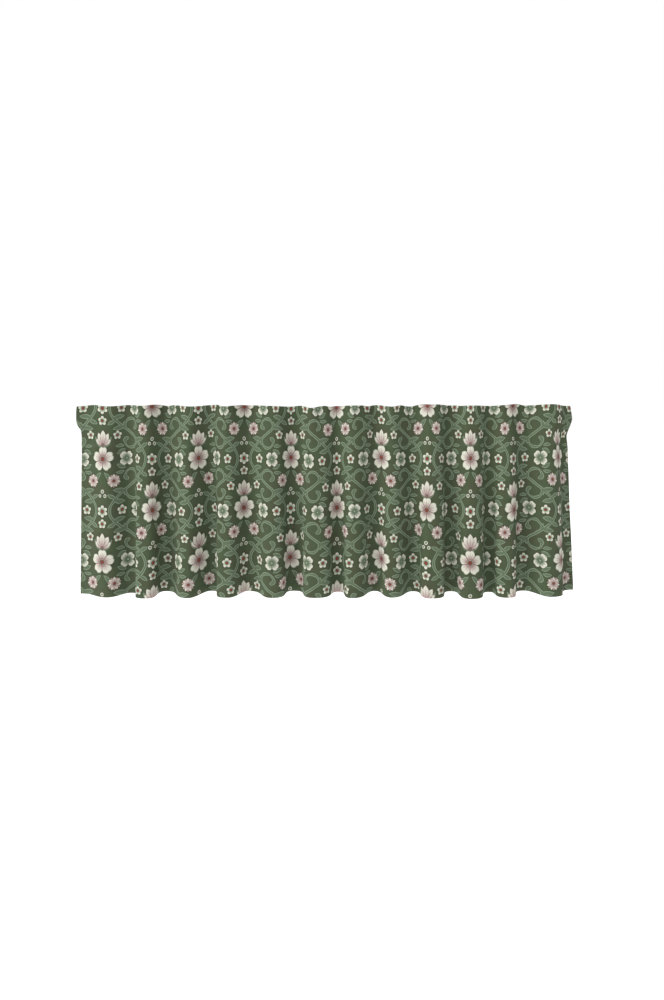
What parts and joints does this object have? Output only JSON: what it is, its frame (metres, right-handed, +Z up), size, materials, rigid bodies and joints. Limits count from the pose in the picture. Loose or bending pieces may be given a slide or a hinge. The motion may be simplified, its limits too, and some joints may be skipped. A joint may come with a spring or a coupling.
{
  "type": "gathered window valance",
  "caption": "Short printed cotton window valance in soft uneven folds, with a spread heading above its gathering line, that hangs across the top of a window.",
  "frame": {"origin": "middle of the top edge of the cloth, in the middle plane of its folds", "axes": "+X along the window to the viewer's right, +Y away from the viewer towards the window, +Z up"},
  "size_m": [1.3311, 0.057, 0.506],
  "materials": {
    "printed_cotton": "matt plain-weave cotton, printed on its face with a floral pattern on dark green"
  },
  "bodies": {
    "root": {"valance_panel": "printed_cotton"}
  },
  "joints": []
}
